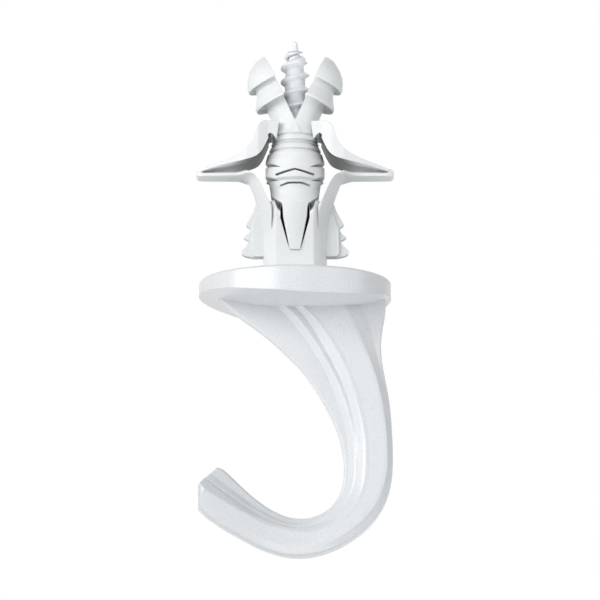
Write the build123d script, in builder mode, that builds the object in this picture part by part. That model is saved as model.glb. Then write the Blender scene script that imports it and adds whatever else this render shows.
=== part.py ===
from build123d import *
import os

# Ceiling hook with a hollow-wall toggle anchor, drawn screwed home with its wings open.
# Origin: centre of the plate's ceiling face on the screw axis. +Z points up, into the ceiling.
# The arm lies in the XZ plane and its mouth faces -X. Millimetres.

# plate
plate_radius = 12.0
plate_depths = [(-13, 1.55), (-11.4, 1.86), (-8.6, 2.29), (-6, 2.73), (-3.9, 2.99), (-1.6, 3.21),
                (0.6, 3.4), (3.6, 3.48), (6.25, 3.31), (8.9, 2.93), (11.4, 2.3), (13, 1.8)]
plate_edge = 0.22

# arm: web in the arm's plane, with a moulded spine that stands out on both sides
web_half = 0.7
web_inner_edge = [(-10.2, -1.6), (-8.3, -3.3), (-6.5, -4.75), (-4.69, -6.05), (-2.9, -7.5), (-1.06, -9.23),
                  (0.81, -11.15), (2.19, -13.06), (3.38, -14.97), (4.38, -16.88), (5.19, -18.79),
                  (5.72, -20.7), (6.04, -22.61), (6.08, -24.5), (5.7, -26.5), (4.55, -28.45), (2.75, -29.62),
                  (0.88, -30.0), (-1.0, -29.75), (-2.88, -28.92), (-4.75, -27.65), (-6.62, -25.99),
                  (-8.3, -24.35), (-9.4, -23.6), (-10.6, -23.75), (-12.9, -25.2)]
web_edge = 0.25
# stations along the arm, plate to tip: line origin x, z and direction in degrees from inner to outer edge,
# distances on that line to the spine's base, bead, valley, ridge, face end, step and outer edge,
# then the half-widths of bead, valley, ridge, face end
spine_stations = [
    (0.0, -1.6, 0, -4.0, -2.7, -1.5, -0.6, 5.6, 7.5, 11.4, 2.0, 1.85, 2.9, 2.8),
    (0.0, -4.2, 0, -1.3, -0.25, 0.75, 1.6, 6.75, 8.65, 11.25, 2.0, 1.8, 2.85, 2.75),
    (0.0, -6.6, 0, 0.65, 1.65, 2.5, 3.6, 7.85, 9.6, 10.85, 2.0, 1.75, 2.8, 2.7),
    (0.0, -9.5, -3, 2.74, 3.59, 4.25, 5.5, 9.31, 10.35, 10.87, 1.95, 1.75, 2.75, 2.65),
    (0.0, -12.5, -5, 4.34, 5.33, 5.85, 6.95, 10.45, 11.2, 11.52, 1.9, 1.75, 2.7, 2.6),
    (0.0, -15.5, -5, 5.51, 6.48, 6.9, 7.87, 11.05, 11.7, 11.96, 1.85, 1.75, 2.65, 2.55),
    (0.0, -18.5, -3, 6.25, 7.14, 7.5, 8.4, 11.37, 11.87, 12.12, 1.8, 1.78, 2.6, 2.5),
    (0.0, -21.5, 0, 6.63, 7.45, 7.86, 8.64, 11.5, 11.95, 12.2, 1.6, 1.82, 2.55, 2.45),
    (-0.2, -22.6, -12, 7.05, 7.85, 8.25, 8.97, 11.75, 12.2, 12.5, 1.55, 1.85, 2.52, 2.42),
    (-0.4, -22.8, -32, 7.55, 8.4, 8.8, 9.5, 11.8, 12.4, 12.7, 1.55, 1.85, 2.5, 2.38),
    (-0.4, -22.6, -55, 7.95, 8.7, 9.1, 9.74, 11.65, 12.25, 12.54, 1.48, 1.81, 2.48, 2.32),
    (-0.2, -22.0, -80, 8.6, 9.17, 9.47, 10.03, 12.1, 12.7, 12.92, 1.45, 1.75, 2.45, 2.28),
    (-0.1, -21.6, -92, 8.93, 9.42, 9.69, 10.08, 12.28, 12.9, 13.18, 1.42, 1.75, 2.43, 2.25),
    (0.0, -21.0, -104, 9.24, 9.8, 10.11, 10.54, 12.55, 13.22, 13.52, 1.42, 1.75, 2.42, 2.22),
    (0.0, -19.5, -111, 10.36, 10.98, 11.37, 11.84, 13.75, 14.42, 14.72, 1.42, 1.75, 2.4, 2.18),
    (0.0, -18.0, -117, 11.45, 12.16, 12.57, 13.08, 14.98, 15.6, 15.9, 1.4, 1.75, 2.38, 2.15),
    (0.0, -17.0, -121, 12.17, 12.95, 13.36, 13.93, 15.85, 16.45, 16.75, 1.38, 1.72, 2.35, 2.1),
    (0.0, -16.0, -124, 12.9, 13.74, 14.16, 14.8, 16.7, 17.28, 17.57, 1.35, 1.7, 2.32, 2.08),
    (0.0, -14.0, -127, 14.45, 15.39, 15.81, 16.55, 18.37, 18.9, 19.18, 1.3, 1.65, 2.28, 2.0),
    (0.0, -12.0, -128, 16.0, 17.0, 17.4, 18.2, 19.85, 20.35, 20.6, 1.25, 1.6, 2.25, 1.95),
    (0.0, -10.0, -127, 17.75, 18.75, 19.2, 20.0, 21.6, 22.1, 22.35, 1.25, 1.6, 2.25, 1.95),
]
ridge_round = 0.16
groove_dip = 0.1
step_half = 1.55
outer_half = 1.25
outer_round = 0.4

# arm tip
tip_x = -12.05
tip_half = 2.25
tip_round = 0.95

# screw, one moulding with the plate
thread_pitch = 1.8
thread_crest = 1.8
thread_root = 1.28
shank_radius = thread_crest + 0.05
thread_turns = 3
thread_top = 30.15
thread_start = thread_top - 2 * thread_turns * thread_pitch
screw_shoulder = 27.2
screw_top = 30.95

# anchor
bore_clearance = 0.1
bore_radius = shank_radius + bore_clearance
flange_radius = 6.0
flange_thickness = 1.0
recess_clearance = 0.15
sleeve_radius = 4.0
sleeve_flat = 3.25
sleeve_top = 9.9
tongue_radius = 3.55
wing_half = 3.7
splay = 24.8
crotch_z = 20.35
nose_shift = 0.85
nose_profile = [(2.5, 3.05), (3.3, 2.85), (3.72, 2.4), (3.75, 2.75), (2.9, 4.2), (2.75, 5.5), (3.25, 5.35),
                (3.6, 5.05), (3.62, 5.4), (3.4, 6.1), (3.0, 6.85), (2.45, 7.45), (1.3, 8.3), (1.0, 8.4), (0, 8.4)]
lower_end = [(-2.9, 12.2), (-3.05, 11.3), (-2.95, 10.85), (-2.6, 10.4), (-2.1, 9.95), (-1.65, 9.6),
             (-1.55, 9.2), (-1.48, 7.9), (-0.82, 4.5), (-0.6, 3.6)]
slot_outline = [(-2.75, 10.5), (-2.4, 9.38), (-1.9, 7.9), (-1.02, 4.75), (-0.75, 3.98), (-0.3, 3.75)]
groove_height = 0.34
groove_depth = 0.2
slit_floor = 2.25
fin_half = 0.9
fin_ridge_half = 0.45
slit = 0.2


def mirrored(points):
    """Closed outline from its -X half, given from one end to the other."""
    return points + [(-x, z) for x, z in reversed(points)]


def plan_outline(half_depths):
    """Outline in plan of a wing on the -X side, from its half-depths."""
    return [(-x, y) for x, y in half_depths] + [(-x, -y) for x, y in reversed(half_depths)]


def spine_outline(station):
    """Half-outline of the spine on one station line, then its mirror image."""
    x0, z0, angle, base, bead, valley, ridge, face, step, outer, bead_h, valley_h, ridge_h, face_h = station
    near = [(base - 0.25, 0.25), (base, web_half - 0.1), (bead - 0.12, bead_h - 0.1), (bead + 0.1, bead_h),
            (valley, valley_h), (ridge - ridge_round, ridge_h - 0.2), (ridge + ridge_round, ridge_h),
            (ridge + 4 * ridge_round, ridge_h - groove_dip), (face - 0.35, face_h - 0.03), (face, face_h - 0.12),
            (step, step_half), (outer - 0.3 * outer_round, outer_half + 0.1), (outer, outer_half - outer_round)]
    return near + [(t, -w) for t, w in reversed(near)]


# ceiling plate: a disc under a face that is crowned one way
with BuildPart() as plate:
    with BuildSketch(Plane.XZ):
        with BuildLine():
            crown = Spline([(x, -depth) for x, depth in plate_depths])
            Polyline(crown @ 1, (13, 0), (-13, 0), crown @ 0)
        make_face()
    extrude(amount=plate_radius + 1, both=True)
    Cylinder(plate_radius, 8, mode=Mode.INTERSECT)
    chamfer(plate.edges().group_by(Axis.Z)[-1], plate_edge)

# web
with BuildPart() as web:
    with BuildSketch(Plane.XZ):
        with BuildLine():
            inner = Spline(web_inner_edge)
            spine_mid = Spline([(-11.9, -26.8), (-9.2, -27.8), (-4.5, -31.2), (0.5, -32.6), (5.6, -30.8),
                                (8.9, -27.5), (9.9, -23), (9.3, -16), (7.3, -9.5), (6.0, -5), (5.0, -1.6)])
            Line(inner @ 1, spine_mid @ 0)
            Line(spine_mid @ 1, inner @ 0)
        make_face()
    extrude(amount=web_half, both=True)
    inner_side = web.faces().sort_by(SortBy.AREA)[-3]
    chamfer(inner_side.edges().filter_by(lambda e: e.length > 20), web_edge)

# spine: one loft through all the stations
with BuildPart() as spine:
    for station in spine_stations:
        x0, z0, angle = station[:3]
        line_dir = Vector(1, 0, 0).rotate(Axis.Y, -angle)
        frame = Plane(origin=(x0, 0, z0), x_dir=line_dir, z_dir=line_dir.cross(Vector(0, 1, 0)))
        with BuildSketch(frame):
            Polygon(*spine_outline(station), align=None)
    loft()

# trimming of the arm's tip, in plan and in elevation
with BuildPart() as tip_trim:
    with BuildSketch(Plane.XY.offset(-32)):
        with Locations((tip_x - 1, 0)):
            Rectangle(4, 12)
        with BuildSketch(mode=Mode.SUBTRACT) as nose:
            with Locations((tip_x + 3, 0)):
                Rectangle(6, 2 * tip_half)
            fillet(nose.vertices().group_by(Axis.X)[0], tip_round)
    extrude(amount=12)
    with BuildSketch(Plane.XZ):
        Polygon((-9.6, -23.45), (-12.4, -26.1), (-16, -26.1), (-16, -20), (-9.6, -20), align=None)
        Polygon((-10.1, -30.6), (-12.5, -28.2), (-16, -28.2), (-16, -34), (-10.1, -34), align=None)
    extrude(amount=6, both=True)

# screw: shank and core, then a coarse thread in two lengths of three turns, the last one run out to the point.
# The shank inside the anchor is plain: its thread can't be seen.
with BuildPart() as thread_length:
    with BuildLine() as thread_line:
        Helix(thread_pitch, thread_turns * thread_pitch, thread_root)
    helix = thread_line.line
    with BuildSketch(Plane(origin=helix @ 0, x_dir=(1, 0, 0), z_dir=helix % 0)):
        crest = thread_crest - thread_root
        Polygon((-0.3, -0.62), (crest, -0.09), (crest, 0.09), (-0.3, 0.62), align=None)
    sweep(path=helix, is_frenet=True)

with BuildPart() as thread_end:
    with Locations((0, 0, thread_top - thread_turns * thread_pitch)):
        add(thread_length)
    with BuildSketch(Plane.XZ):
        Polygon((0, 20), (2.0, 20), (2.0, screw_shoulder), (1.38, 28.5), (1.2, 29.2), (0.75, 29.8),
                (0, 30.1), align=None)
    revolve(mode=Mode.INTERSECT)

with BuildPart() as core:
    with BuildSketch(Plane.XZ):
        Polygon((0, -2), (shank_radius, -2), (shank_radius, thread_start + 0.5), (thread_root, thread_start + 1.1),
                (thread_root, screw_shoulder - 1.2), (1.03, screw_shoulder + 0.8),
                (0.47, 29.7), (0.3, 30.7), (0.12, screw_top), (0, screw_top), align=None)
    revolve()

with BuildPart() as screw:
    add(core, rotation=(0, 0, 300))
    with Locations((0, 0, thread_start)):
        add(thread_length)
    add(thread_end)

with BuildPart() as hook:
    add(plate)
    add(spine)
    add(web)
    add(tip_trim, mode=Mode.SUBTRACT)
    with Locations((0, 0, -(flange_thickness + recess_clearance))):
        Cylinder(flange_radius + recess_clearance, 4, align=(Align.CENTER, Align.CENTER, Align.MIN),
                 mode=Mode.SUBTRACT)
    add(screw)

# wings of the anchor in its own front view: the band above, the band below and the strap down to the sleeve
upper_outline = [(-3.75, 20.15), (-4.35, 19.75), (-4.82, 18.95), (-5.15, 17.9), (-5.75, 16.85), (-7.0, 15.9),
                 (-8.5, 15.25), (-10.19, 14.7), (-11.75, 14.15)]
upper_under = [(-11.5, 13.98), (-10.19, 14.3), (-8.27, 14.7), (-5.73, 15.18), (-4.55, 15.75), (-3.94, 16.6),
               (-3.3, 17.99)]
strap_outline = [(-7.25, 13.32), (-6.2, 13.05), (-5.65, 12.4), (-5.35, 11.6), (-4.92, 10.35), (-4.42, 8.49),
                 (-4.0, 6.2)]
# half-depth of the upper and lower wings in plan, from the tip in to the head
upper_plan = [(12.6, 0.8), (12.25, 1.4), (11.6, 1.8), (10.2, 2.3), (8.3, 3.0), (6.1, 3.7), (4.6, 3.7),
              (3.4, 3.05), (1.9, 2.7)]
lower_plan = [(12.6, 0.8), (12.25, 1.4), (11.6, 1.7), (7.3, 1.85), (6.7, 2.5), (6.1, 3.5), (5.6, 3.7),
              (0, 3.7)]
strap_inner = [(-3.3, 9.91), (-3.94, 11.21), (-4.45, 12.3), (-5.3, 13.3), (-6.5, 13.74)]

with BuildPart() as upper_wing:
    with BuildSketch(Plane.XZ):
        with BuildLine():
            top = Spline(upper_outline)
            under = Spline(upper_under)
            Polyline(top @ 1, (-12.0, 13.75), under @ 0)
            slot_end = ThreePointArc(under @ 1, (-3.08, 18.55), (-2.72, 18.35))
            Polyline(slot_end @ 1, (-2.3, 17.9), (-2.0, 20.15), top @ 0)
        make_face()
    extrude(amount=wing_half, both=True)
    with BuildSketch(Plane.XY):
        Polygon(*plan_outline(upper_plan), align=None)
    extrude(amount=25, mode=Mode.INTERSECT)

with BuildPart() as lower_wing:
    with BuildSketch(Plane.XZ):
        with BuildLine():
            fold = ThreePointArc((-11.75, 14.2), (-12.38, 13.73), (-11.75, 13.32))
            outside = Spline(strap_outline)
            Line(fold @ 1, outside @ 0)
            inside = Spline(strap_inner)
            Polyline(outside @ 1, (-4.0, 5.0), (-2.9, 5.0), (-2.9, 9.3), inside @ 0)
            slot_tip = ThreePointArc((-11.4, 13.73), (-11.62, 13.87), (-11.5, 13.98))
            Line(inside @ 1, slot_tip @ 0)
            Line(slot_tip @ 1, fold @ 0)
        make_face()
    extrude(amount=wing_half, both=True)
    with BuildSketch(Plane.XY):
        Polygon(*plan_outline(lower_plan), align=None)
    extrude(amount=25, mode=Mode.INTERSECT)

# the strap's outside is the sleeve's round wall, flared
with BuildPart() as strap_envelope:
    with BuildSketch(Plane.XZ):
        with BuildLine():
            flare = Spline([(-x, z) for x, z in strap_outline])
            Polyline(flare @ 1, (sleeve_radius, 0), (0, 0), (0, 22), (14, 22), (14, 13.32), flare @ 0)
        make_face()
    revolve()

with BuildPart() as straps:
    add(lower_wing)
    add(strap_envelope, mode=Mode.INTERSECT)
    with BuildSketch(Plane.YZ):
        Polygon(*mirrored([(-sleeve_flat, 4), (-sleeve_flat, sleeve_top - 0.4), (-wing_half, 12.2), (-wing_half, 22)]),
                align=None)
    extrude(amount=15, both=True, mode=Mode.INTERSECT)

# body: a round core with fine ribs, pulled down between the wings
def groove(radius, z):
    """Profile points of a narrow groove round the body."""
    return [(radius, z - groove_height / 2), (radius - groove_depth, z - 0.05), (radius - groove_depth, z + 0.05),
            (radius, z + groove_height / 2)]


with BuildPart() as body:
    with BuildSketch(Plane.XZ):
        Polygon((0, 10.6), (2.9, 10.6), (3.12, 11.72), (3.28, 12.62), (3.7, 12.85), (3.7, 15.3), (3.45, 16.2),
                *groove(3.25, 16.53), *groove(2.98, 17.37), *groove(2.86, 17.72), *groove(2.62, 18.62),
                (2.5, 19.37), (2.6, 20.5), (0, 20.5), align=None)
    revolve()
    # lower end: shoulders and the tongue that hangs in the sleeve's slots
    with BuildSketch(Plane.XZ):
        Polygon(*mirrored(lower_end), align=None)
    extrude(amount=5, both=True)
    # its round outside, flattened in front and behind
    with BuildSketch(Plane.XZ):
        Polygon((0, 3), (tongue_radius, 3), (tongue_radius, 9.6), (3.25, 10.7), (3.1, 11.7), (3.26, 12.6),
                (3.75, 12.8), (3.75, 21), (0, 21), align=None)
    revolve(mode=Mode.INTERSECT)
    with BuildSketch(Plane.XZ):
        with Locations((0, 16)):
            Rectangle(10, 9.6)
        Polygon(*mirrored(lower_end), align=None)
    extrude(amount=5, both=True, mode=Mode.INTERSECT)
    # gathered folds: side notches and slits in the front and back
    with BuildSketch(Plane.XZ):
        for side in (-1, 1):
            Polygon((side * 4.2, 15.45), (side * 1.8, 14.15), (side * 4.2, 14.6), align=None)
            Polygon((side * 4.2, 13.65), (side * 2.0, 12.5), (side * 4.2, 12.9), align=None)
    extrude(amount=5, both=True, mode=Mode.SUBTRACT)
    for face_y in (-1, 1):
        with BuildSketch(Plane.XZ.offset(face_y * slit_floor)):
            Polygon((-2.45, 13.36), (0, 13.95), (2.45, 13.36), (2.3, 13.26 - slit), (0, 13.92 - slit),
                    (-2.3, 13.26 - slit), align=None)
            Polygon((-1.9, 11.98), (-0.9, 12.3), (0.9, 12.3), (1.9, 11.98), (1.75, 11.98 - slit),
                    (0.75, 12.26 - slit), (-0.75, 12.26 - slit), (-1.75, 11.98 - slit), align=None)
        extrude(amount=face_y * 2.5, mode=Mode.SUBTRACT)

# one half of the split nose, on its own axis before it is splayed
with BuildPart() as nose_half:
    with BuildSketch(Plane.XZ):
        Polygon((0, -1.6), (2.6, -1.6), *[(r, z + nose_shift) for r, z in nose_profile], align=None)
    revolve()
    with Locations((5, 0, 3)):
        Box(10, 10, 16, mode=Mode.SUBTRACT)

with BuildPart() as fin:
    with BuildSketch(Plane.XZ):
        Polygon((-3.6, 9.8), (-4.9, 9.9), (-5.2, 9.0), (-5.7, 8.1), (-6.1, 7.35), (-6.05, 7.2), (-5.5, 6.8),
                (-5.85, 6.2), (-6.4, 5.75), (-6.35, 5.6), (-5.7, 5.2), (-6.05, 4.6), (-6.7, 4.05),
                (-6.65, 3.6), (-6.3, 3.35), (-5.2, 3.1), (-3.6, 3.1), align=None)
    extrude(amount=fin_ridge_half, both=True)
    with BuildSketch(Plane.XZ):
        Polygon((-3.6, 9.3), (-4.55, 9.3), (-5.5, 6.5), (-5.5, 3.5), (-5.2, 3.2), (-3.6, 3.2), align=None)
    extrude(amount=fin_half, both=True)

with BuildPart() as toggle_anchor:
    with BuildSketch(Plane.XY):
        Circle(sleeve_radius)
        Rectangle(2 * sleeve_radius, 2 * sleeve_flat, mode=Mode.INTERSECT)
    extrude(amount=sleeve_top)
    add(fin)
    add(fin.part.mirror(Plane.YZ))
    Cylinder(flange_radius, flange_thickness, align=(Align.CENTER, Align.CENTER, Align.MAX))
    with BuildSketch(Plane.XZ):
        Polygon(*mirrored(slot_outline), align=None)
    extrude(amount=6, both=True, mode=Mode.SUBTRACT)
    add(straps)
    add(straps.part.mirror(Plane.YZ))
    add(upper_wing)
    add(upper_wing.part.mirror(Plane.YZ))
    add(body)
    with Locations(Location((0, 0, crotch_z), (0, -splay, 0))):
        add(nose_half)
    with Locations(Location((0, 0, crotch_z), (0, splay, 180))):
        add(nose_half)
    with Locations((0, 0, -2)):
        Cylinder(bore_radius, 36, align=(Align.CENTER, Align.CENTER, Align.MIN), mode=Mode.SUBTRACT)

hook.part.label = "hook"
toggle_anchor.part.label = "toggle_anchor"

os.makedirs("parts", exist_ok=True)
export_step(hook.part, "parts/hook.step")
export_step(toggle_anchor.part, "parts/toggle_anchor.step")
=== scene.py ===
import math

import bpy
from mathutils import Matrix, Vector

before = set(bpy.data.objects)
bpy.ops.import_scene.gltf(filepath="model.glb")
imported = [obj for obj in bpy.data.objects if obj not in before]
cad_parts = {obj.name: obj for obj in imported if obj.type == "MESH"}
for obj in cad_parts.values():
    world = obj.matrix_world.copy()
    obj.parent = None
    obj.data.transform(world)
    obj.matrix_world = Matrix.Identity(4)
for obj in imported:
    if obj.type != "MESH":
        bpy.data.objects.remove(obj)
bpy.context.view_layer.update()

# all lengths are in metres
scene = bpy.context.scene
scene.view_settings.view_transform = "Standard"

# the photograph's view: square on to the arm, from below, through a long lens
PHOTO_WIDTH = 600  # in pixels
PIXEL = 0.000125  # one pixel of the photograph, measured at the part
AXIS_COLUMN = 295  # the screw's axis, midway between the photograph's axes of the hook and the anchor
CENTRE_ROW = 283  # the centre of the ceiling face
VIEW_ELEVATION = math.radians(-11.2)
VIEW_DISTANCE = 1.2
SENSOR_WIDTH = 36  # in millimetres, like the lens

# moulded plastic in general
NOISE_SCALE = 4200
NOISE_DETAIL = 3
SPECKLE_SPREAD = (0.3, 0.7)  # the noise levels that give the darkest and the lightest speckle
GLOSS_SWING = (-0.05, 0.07)  # what the noise takes off and adds to the roughness
GRAIN_HEIGHT = 0.00003
SKIN_DEPTH = 0.0006  # how far light travels under the skin
PLASTIC_IOR = 1.49
NOOK_SAMPLES = 8
EDGE_SAMPLES = 6

# grain is the strength of the fine bump, and edge_radius softens the mould's edges
# each painted nook shade has its reach, the openness where it is darkest and where it ends, and the darkest
# tone
HOOK_FINISH_AND_SHADE = {
    "colour": (0.695, 0.715, 0.735),
    "speckle": 0.05,
    "roughness": 0.2,
    "specular": 0.45,
    "subsurface": 0.12,
    "grain": 0.12,
    "edge_radius": 0.00022,
    "painted_nooks": [(0.003, 0.2, 0.9, 0.95)],
}
ANCHOR_FINISH_AND_SHADE = {
    "colour": (0.80, 0.82, 0.825),
    "speckle": 0.02,
    "roughness": 0.38,
    "specular": 0.12,
    "subsurface": 0.1,
    "grain": 0.1,
    "edge_radius": 0.00015,
    "painted_nooks": [(0.0009, 0.1, 0.5, 0.75), (0.005, 0.1, 0.5, 0.9)],
}

# painted shade on the stem in the dark inside the anchor, and painted light on the screw above it
STEM_LOW = 0.0004
STEM_TOP = 0.0188
STEM_RADIUS = 0.0026
STEM_BLUR = 0.0003
STEM_SIDE_BLUR = 0.0002
STEM_PAINTED_SHADE = 0.06
SCREW_FULL = 0.0198
SCREW_PAINTED_LIGHT = 1.2

# painted shade: the lower arm darkens towards its tip
LOWER_ARM_FULL = -0.021  # below this height all of it does
LOWER_ARM_START = -0.015
TIP_X = -0.008
BEND_X = 0.006
TIP_PAINTED_SHADE = 0.87

# painted shade, black to grey, on the inner walls of the slots inside the folded wings, by height and by
# distance from the axis
SLOT_LOW = 0.0138
SLOT_TOP = 0.0187
SLOT_START = 0.0028
SLOT_FULL = 0.0030
SLOT_BLACK = 0.0050
SLOT_GREY = 0.0088
SLOT_PAINTED_DARKEST = 0.04
SLOT_PAINTED_TONE = 1.12
INNER_WALL = (0.76, 0.92)  # how far a wall faces in and down before it counts as a slot's inner wall
# the upper leg's root beside the body, where the painted nook shade is lifted
ROOT_LOW = 0.0176
ROOT_TOP = 0.0203
ROOT_START = 0.0017
ROOT_END = 0.0026
EDGE_BLUR = 0.0001

# each lamp: azimuth from the camera and elevation in degrees, width, height, watts
LAMPS = [
    ("left_box", -50, 12, 0.95, 0.4, 6.1),
    ("right_box", 60, 10, 0.9, 0.4, 2.3),
    ("far_left", -100, 0, 0.4, 0.8, 0.35),
    ("below", 0, -68, 0.9, 0.9, 5.4),
    ("above", 0, 55, 0.8, 0.6, 1.2),
]
LAMP_DISTANCE = 0.9

# the world's plain light, the same from all sides and more from some
WORLD_COLOUR = (0.97, 0.985, 1.0, 1)
WORLD_LEVEL = 0.2
LEANS = [
    ((0, -1, 0), 0.28),
    ((0, 0, -1), 0.1),
    ((0, 1, 0), 0.15),
]

FLOOR_HEIGHT = -1.9
FLOOR_REACH = 6
FLOOR_COLOUR = (0.9, 0.9, 0.9, 1)
FLOOR_ROUGHNESS = 0.9


def link(tree, out, into):
    tree.links.new(out, into)


def split(tree, vector):
    """A vector's outputs X, Y and Z."""
    node = tree.nodes.new("ShaderNodeSeparateXYZ")
    link(tree, vector, node.inputs["Vector"])
    return node.outputs


def ranged(tree, value, low, high, to_low, to_high):
    """Maps a value from low..high to to_low..to_high, smoothly and held at the ends."""
    node = tree.nodes.new("ShaderNodeMapRange")
    node.interpolation_type = "SMOOTHSTEP"
    node.inputs["From Min"].default_value = low
    node.inputs["From Max"].default_value = high
    node.inputs["To Min"].default_value = to_low
    node.inputs["To Max"].default_value = to_high
    link(tree, value, node.inputs["Value"])
    return node.outputs["Result"]


def combined(tree, operation, first, second=None):
    """The result of a math operation on one or two values, each a number or an output."""
    node = tree.nodes.new("ShaderNodeMath")
    node.operation = operation
    for index, item in enumerate((first, second)):
        if isinstance(item, (int, float)):
            node.inputs[index].default_value = item
        elif item is not None:
            link(tree, item, node.inputs[index])
    return node.outputs["Value"]


def within(tree, value, low, high, blur):
    """1 where the value lies between low and high, 0 elsewhere."""
    above = ranged(tree, value, low - blur, low, 0.0, 1.0)
    below = ranged(tree, value, high, high + blur, 1.0, 0.0)
    return combined(tree, "MULTIPLY", above, below)


def covered(tree, shade, mask, tone):
    """The shade, replaced by the tone where the mask is 1."""
    node = tree.nodes.new("ShaderNodeMix")
    link(tree, mask, node.inputs["Factor"])
    link(tree, shade, node.inputs["A"])
    if isinstance(tone, float):
        node.inputs["B"].default_value = tone
    else:
        link(tree, tone, node.inputs["B"])
    return node.outputs["Result"]


def speckled(tree, noise, colour, swing):
    """The colour, a little darker and lighter with the noise."""
    tone = tree.nodes.new("ShaderNodeValToRGB")
    dark, light = tone.color_ramp.elements
    dark.position, light.position = SPECKLE_SPREAD
    dark.color = (*[part * (1 - swing) for part in colour], 1)
    light.color = (*[part * (1 + swing) for part in colour], 1)
    link(tree, noise, tone.inputs["Fac"])
    return tone.outputs["Color"]


def nook_shade(tree, painted_nooks):
    """Painted shade: a tone that falls below 1 where the surface is closed in."""
    shade = 1.0
    for reach, closed, opened, darkest in painted_nooks:
        # painted shade from ambient occlusion, darkening corners and creases
        nook = tree.nodes.new("ShaderNodeAmbientOcclusion")
        nook.samples = NOOK_SAMPLES
        nook.inputs["Distance"].default_value = reach
        tone = ranged(tree, nook.outputs["AO"], closed, opened, darkest, 1.0)
        shade = combined(tree, "MULTIPLY", tone, shade)
    return shade


def shaded(tree, colour, shade):
    """The colour times the shade."""
    node = tree.nodes.new("ShaderNodeMix")
    node.data_type = "RGBA"
    node.blend_type = "MULTIPLY"
    node.inputs["Factor"].default_value = 1.0
    link(tree, colour, node.inputs["A"])
    link(tree, shade, node.inputs["B"])
    return node.outputs["Result"]


def fine_gloss(tree, noise, roughness):
    """The roughness, which swings a little with the noise."""
    gloss = tree.nodes.new("ShaderNodeMapRange")
    less, more = GLOSS_SWING
    gloss.inputs["To Min"].default_value = roughness + less
    gloss.inputs["To Max"].default_value = roughness + more
    link(tree, noise, gloss.inputs["Value"])
    return gloss.outputs["Result"]


def moulded_surface(tree, noise, grain, edge_radius):
    """Softened mould edges under a fine grain."""
    soft = tree.nodes.new("ShaderNodeBevel")
    soft.samples = EDGE_SAMPLES
    soft.inputs["Radius"].default_value = edge_radius
    bump = tree.nodes.new("ShaderNodeBump")
    bump.inputs["Strength"].default_value = grain
    bump.inputs["Distance"].default_value = GRAIN_HEIGHT
    link(tree, noise, bump.inputs["Height"])
    link(tree, soft.outputs["Normal"], bump.inputs["Normal"])
    return bump.outputs["Normal"]


def plastic(name, placed_shade, colour, speckle, roughness, specular, subsurface, grain, edge_radius, painted_nooks):
    """Moulded plastic: a faint speckle, a fine grain in the gloss, softened mould edges, painted shade in the
    nooks, and the painted shade and light of placed_shade.
    """
    material = bpy.data.materials.new(name)
    material.use_nodes = True
    tree = material.node_tree
    shader = tree.nodes["Principled BSDF"]
    place = tree.nodes.new("ShaderNodeTexCoord").outputs["Object"]
    texture = tree.nodes.new("ShaderNodeTexNoise")
    texture.inputs["Scale"].default_value = NOISE_SCALE
    texture.inputs["Detail"].default_value = NOISE_DETAIL
    link(tree, place, texture.inputs["Vector"])
    noise = texture.outputs["Fac"]

    shade = placed_shade(tree, place, nook_shade(tree, painted_nooks))
    link(tree, shaded(tree, speckled(tree, noise, colour, speckle), shade), shader.inputs["Base Color"])
    link(tree, fine_gloss(tree, noise, roughness), shader.inputs["Roughness"])
    link(tree, moulded_surface(tree, noise, grain, edge_radius), shader.inputs["Normal"])
    shader.inputs["Subsurface Weight"].default_value = subsurface
    shader.inputs["Subsurface Radius"].default_value = (1.0, 1.0, 1.0)
    shader.inputs["Subsurface Scale"].default_value = SKIN_DEPTH
    shader.inputs["IOR"].default_value = PLASTIC_IOR
    shader.inputs["Specular IOR Level"].default_value = specular
    return material


def hook_shade(tree, place, shade):
    """Painted shade on the stem inside the anchor, painted light on the screw above it and painted shade
    darker towards the hook's tip.
    """
    spot = split(tree, place)
    flat = tree.nodes.new("ShaderNodeCombineXYZ")
    link(tree, spot["X"], flat.inputs["X"])
    link(tree, spot["Y"], flat.inputs["Y"])
    across = tree.nodes.new("ShaderNodeVectorMath")
    across.operation = "LENGTH"
    link(tree, flat.outputs["Vector"], across.inputs[0])
    # painted shade: the stem inside the anchor goes nearly black
    near_axis = ranged(tree, across.outputs["Value"], STEM_RADIUS, STEM_RADIUS + STEM_SIDE_BLUR, 1.0, 0.0)
    stem = combined(tree, "MULTIPLY", within(tree, spot["Z"], STEM_LOW, STEM_TOP, STEM_BLUR), near_axis)
    shade = covered(tree, shade, stem, STEM_PAINTED_SHADE)
    # painted light: the screw above the anchor is made lighter
    screw = ranged(tree, spot["Z"], STEM_TOP, SCREW_FULL, 0.0, 1.0)
    shade = covered(tree, shade, screw, SCREW_PAINTED_LIGHT)
    # painted shade: the lower arm darkens towards its tip
    lower_arm = ranged(tree, spot["Z"], LOWER_ARM_FULL, LOWER_ARM_START, 1.0, 0.0)
    tip_shade_drift = ranged(tree, spot["X"], TIP_X, BEND_X, TIP_PAINTED_SHADE, 1.0)
    return covered(tree, shade, lower_arm, combined(tree, "MULTIPLY", shade, tip_shade_drift))


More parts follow.
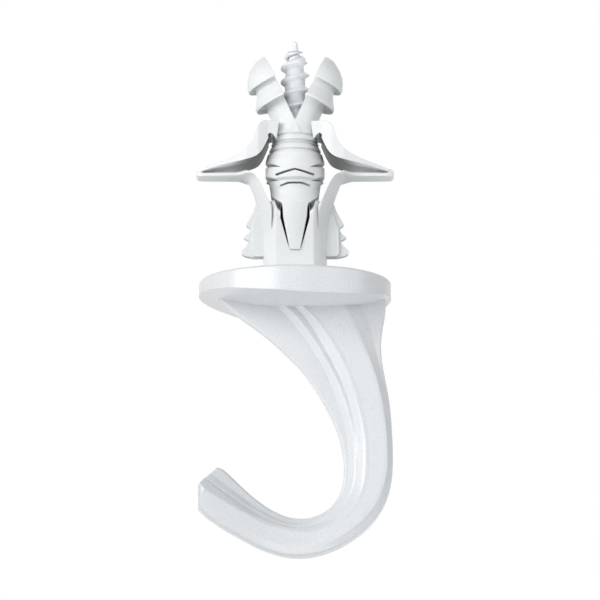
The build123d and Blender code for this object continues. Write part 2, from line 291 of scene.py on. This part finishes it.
def anchor_shade(tree, place, shade):
    """Painted shade, black to grey, on the wing slots' inner walls, and no painted nook shade at the upper
    legs' roots.
    """
    spot = split(tree, place)
    facing = split(tree, tree.nodes.new("ShaderNodeNewGeometry").outputs["True Normal"])
    reach = combined(tree, "ABSOLUTE", spot["X"])
    outward = combined(tree, "MULTIPLY", facing["X"], combined(tree, "SIGN", spot["X"]))
    inward = combined(tree, "MULTIPLY", combined(tree, "ADD", outward, facing["Z"]), -1.0)
    inner = ranged(tree, inward, *INNER_WALL, 0.0, 1.0)
    slot = combined(tree, "MULTIPLY", within(tree, spot["Z"], SLOT_LOW, SLOT_TOP, EDGE_BLUR),
                    ranged(tree, reach, SLOT_START, SLOT_FULL, 0.0, 1.0))
    # painted shade: black near the body, grey further out, on the slots' inner walls
    slot_shade = ranged(tree, reach, SLOT_BLACK, SLOT_GREY, SLOT_PAINTED_DARKEST, SLOT_PAINTED_TONE)
    shade = covered(tree, shade, combined(tree, "MULTIPLY", inner, slot), slot_shade)
    # the painted nook shade is taken off at the upper legs' roots
    root = combined(tree, "MULTIPLY", within(tree, spot["Z"], ROOT_LOW, ROOT_TOP, EDGE_BLUR),
                    within(tree, reach, ROOT_START, ROOT_END, EDGE_BLUR))
    return covered(tree, shade, root, 1.0)


def give_material(node, material):
    """Gives a CAD node its material."""
    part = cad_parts[node]
    part.data.materials.clear()
    part.data.materials.append(material)


def lamp(name, azimuth, elevation, width, height, watts):
    """A soft box that looks at the origin."""
    data = bpy.data.lights.new(name, "AREA")
    data.shape = "RECTANGLE"
    data.size, data.size_y = width, height
    data.energy = watts
    turn, rise = math.radians(azimuth), math.radians(elevation)
    way = Vector((math.sin(turn) * math.cos(rise), -math.cos(turn) * math.cos(rise), math.sin(rise)))
    light = bpy.data.objects.new(name, data)
    light.location = way * LAMP_DISTANCE
    light.rotation_euler = (-way).to_track_quat("-Z", "Y").to_euler()
    scene.collection.objects.link(light)


def seen_directly(tree):
    """1 for what the camera, mirrors and clear things see, 0 for the light that falls on the part."""
    path = tree.nodes.new("ShaderNodeLightPath")
    seen = combined(tree, "MAXIMUM", path.outputs["Is Glossy Ray"], path.outputs["Is Transmission Ray"])
    return combined(tree, "MAXIMUM", seen, path.outputs["Is Camera Ray"])


def white_where_seen(tree, plain, white, surface):
    """Joins the plain light to the surface, and the white where it is seen directly."""
    blend = tree.nodes.new("ShaderNodeMixShader")
    link(tree, seen_directly(tree), blend.inputs["Fac"])
    link(tree, plain, blend.inputs[1])
    link(tree, white, blend.inputs[2])
    link(tree, blend.outputs["Shader"], surface)


def pale_floor():
    """A plain floor far below the part."""
    mesh = bpy.data.meshes.new("floor")
    corners = [(-1, -1), (1, -1), (1, 1), (-1, 1)]
    points = [(x * FLOOR_REACH, y * FLOOR_REACH, FLOOR_HEIGHT) for x, y in corners]
    mesh.from_pydata(points, [], [(0, 1, 2, 3)])
    floor = bpy.data.objects.new("floor", mesh)
    scene.collection.objects.link(floor)
    material = bpy.data.materials.new("floor")
    material.use_nodes = True
    tree = material.node_tree
    shader = tree.nodes["Principled BSDF"]
    shader.inputs["Base Color"].default_value = FLOOR_COLOUR
    shader.inputs["Roughness"].default_value = FLOOR_ROUGHNESS
    white = tree.nodes.new("ShaderNodeEmission")
    white_where_seen(tree, shader.outputs["BSDF"], white.outputs["Emission"],
                     tree.nodes["Material Output"].inputs["Surface"])
    mesh.materials.append(material)


def studio_world():
    """Plain light that leans to some sides."""
    world = bpy.data.worlds.new("studio")
    scene.world = world
    world.use_nodes = True
    tree = world.node_tree
    tree.nodes.clear()
    output = tree.nodes.new("ShaderNodeOutputWorld")
    place = tree.nodes.new("ShaderNodeTexCoord")
    level = WORLD_LEVEL
    for side, strength in LEANS:
        lean = tree.nodes.new("ShaderNodeVectorMath")
        lean.operation = "DOT_PRODUCT"
        lean.inputs[1].default_value = side
        link(tree, place.outputs["Generated"], lean.inputs[0])
        lit = combined(tree, "MAXIMUM", lean.outputs["Value"], 0.0)
        level = combined(tree, "ADD", combined(tree, "MULTIPLY", lit, strength), level)
    plain = tree.nodes.new("ShaderNodeBackground")
    plain.inputs["Color"].default_value = WORLD_COLOUR
    link(tree, level, plain.inputs["Strength"])
    white = tree.nodes.new("ShaderNodeBackground")
    white.inputs["Color"].default_value = (1, 1, 1, 1)
    white_where_seen(tree, plain.outputs["Background"], white.outputs["Background"], output.inputs["Surface"])


def photo_camera():
    """The photograph's camera."""
    middle = PHOTO_WIDTH / 2
    across = (middle - AXIS_COLUMN) * PIXEL
    up = (CENTRE_ROW - middle) * PIXEL / math.cos(VIEW_ELEVATION)
    back = Vector((0, -math.cos(VIEW_ELEVATION), math.sin(VIEW_ELEVATION)))
    camera = bpy.data.objects.new("camera", bpy.data.cameras.new("camera"))
    scene.collection.objects.link(camera)
    scene.camera = camera
    camera.location = Vector((across, 0, up)) + back * VIEW_DISTANCE
    camera.rotation_euler = (-back).to_track_quat("-Z", "Y").to_euler()
    camera.data.sensor_width = SENSOR_WIDTH
    camera.data.lens = SENSOR_WIDTH * VIEW_DISTANCE / (PHOTO_WIDTH * PIXEL)
    camera.data.clip_start = 0.05
    camera.data.clip_end = 20


give_material("hook", plastic("hook_plastic", hook_shade, **HOOK_FINISH_AND_SHADE))
give_material("toggle_anchor", plastic("anchor_plastic", anchor_shade, **ANCHOR_FINISH_AND_SHADE))
for settings in LAMPS:
    lamp(*settings)
pale_floor()
studio_world()
photo_camera()
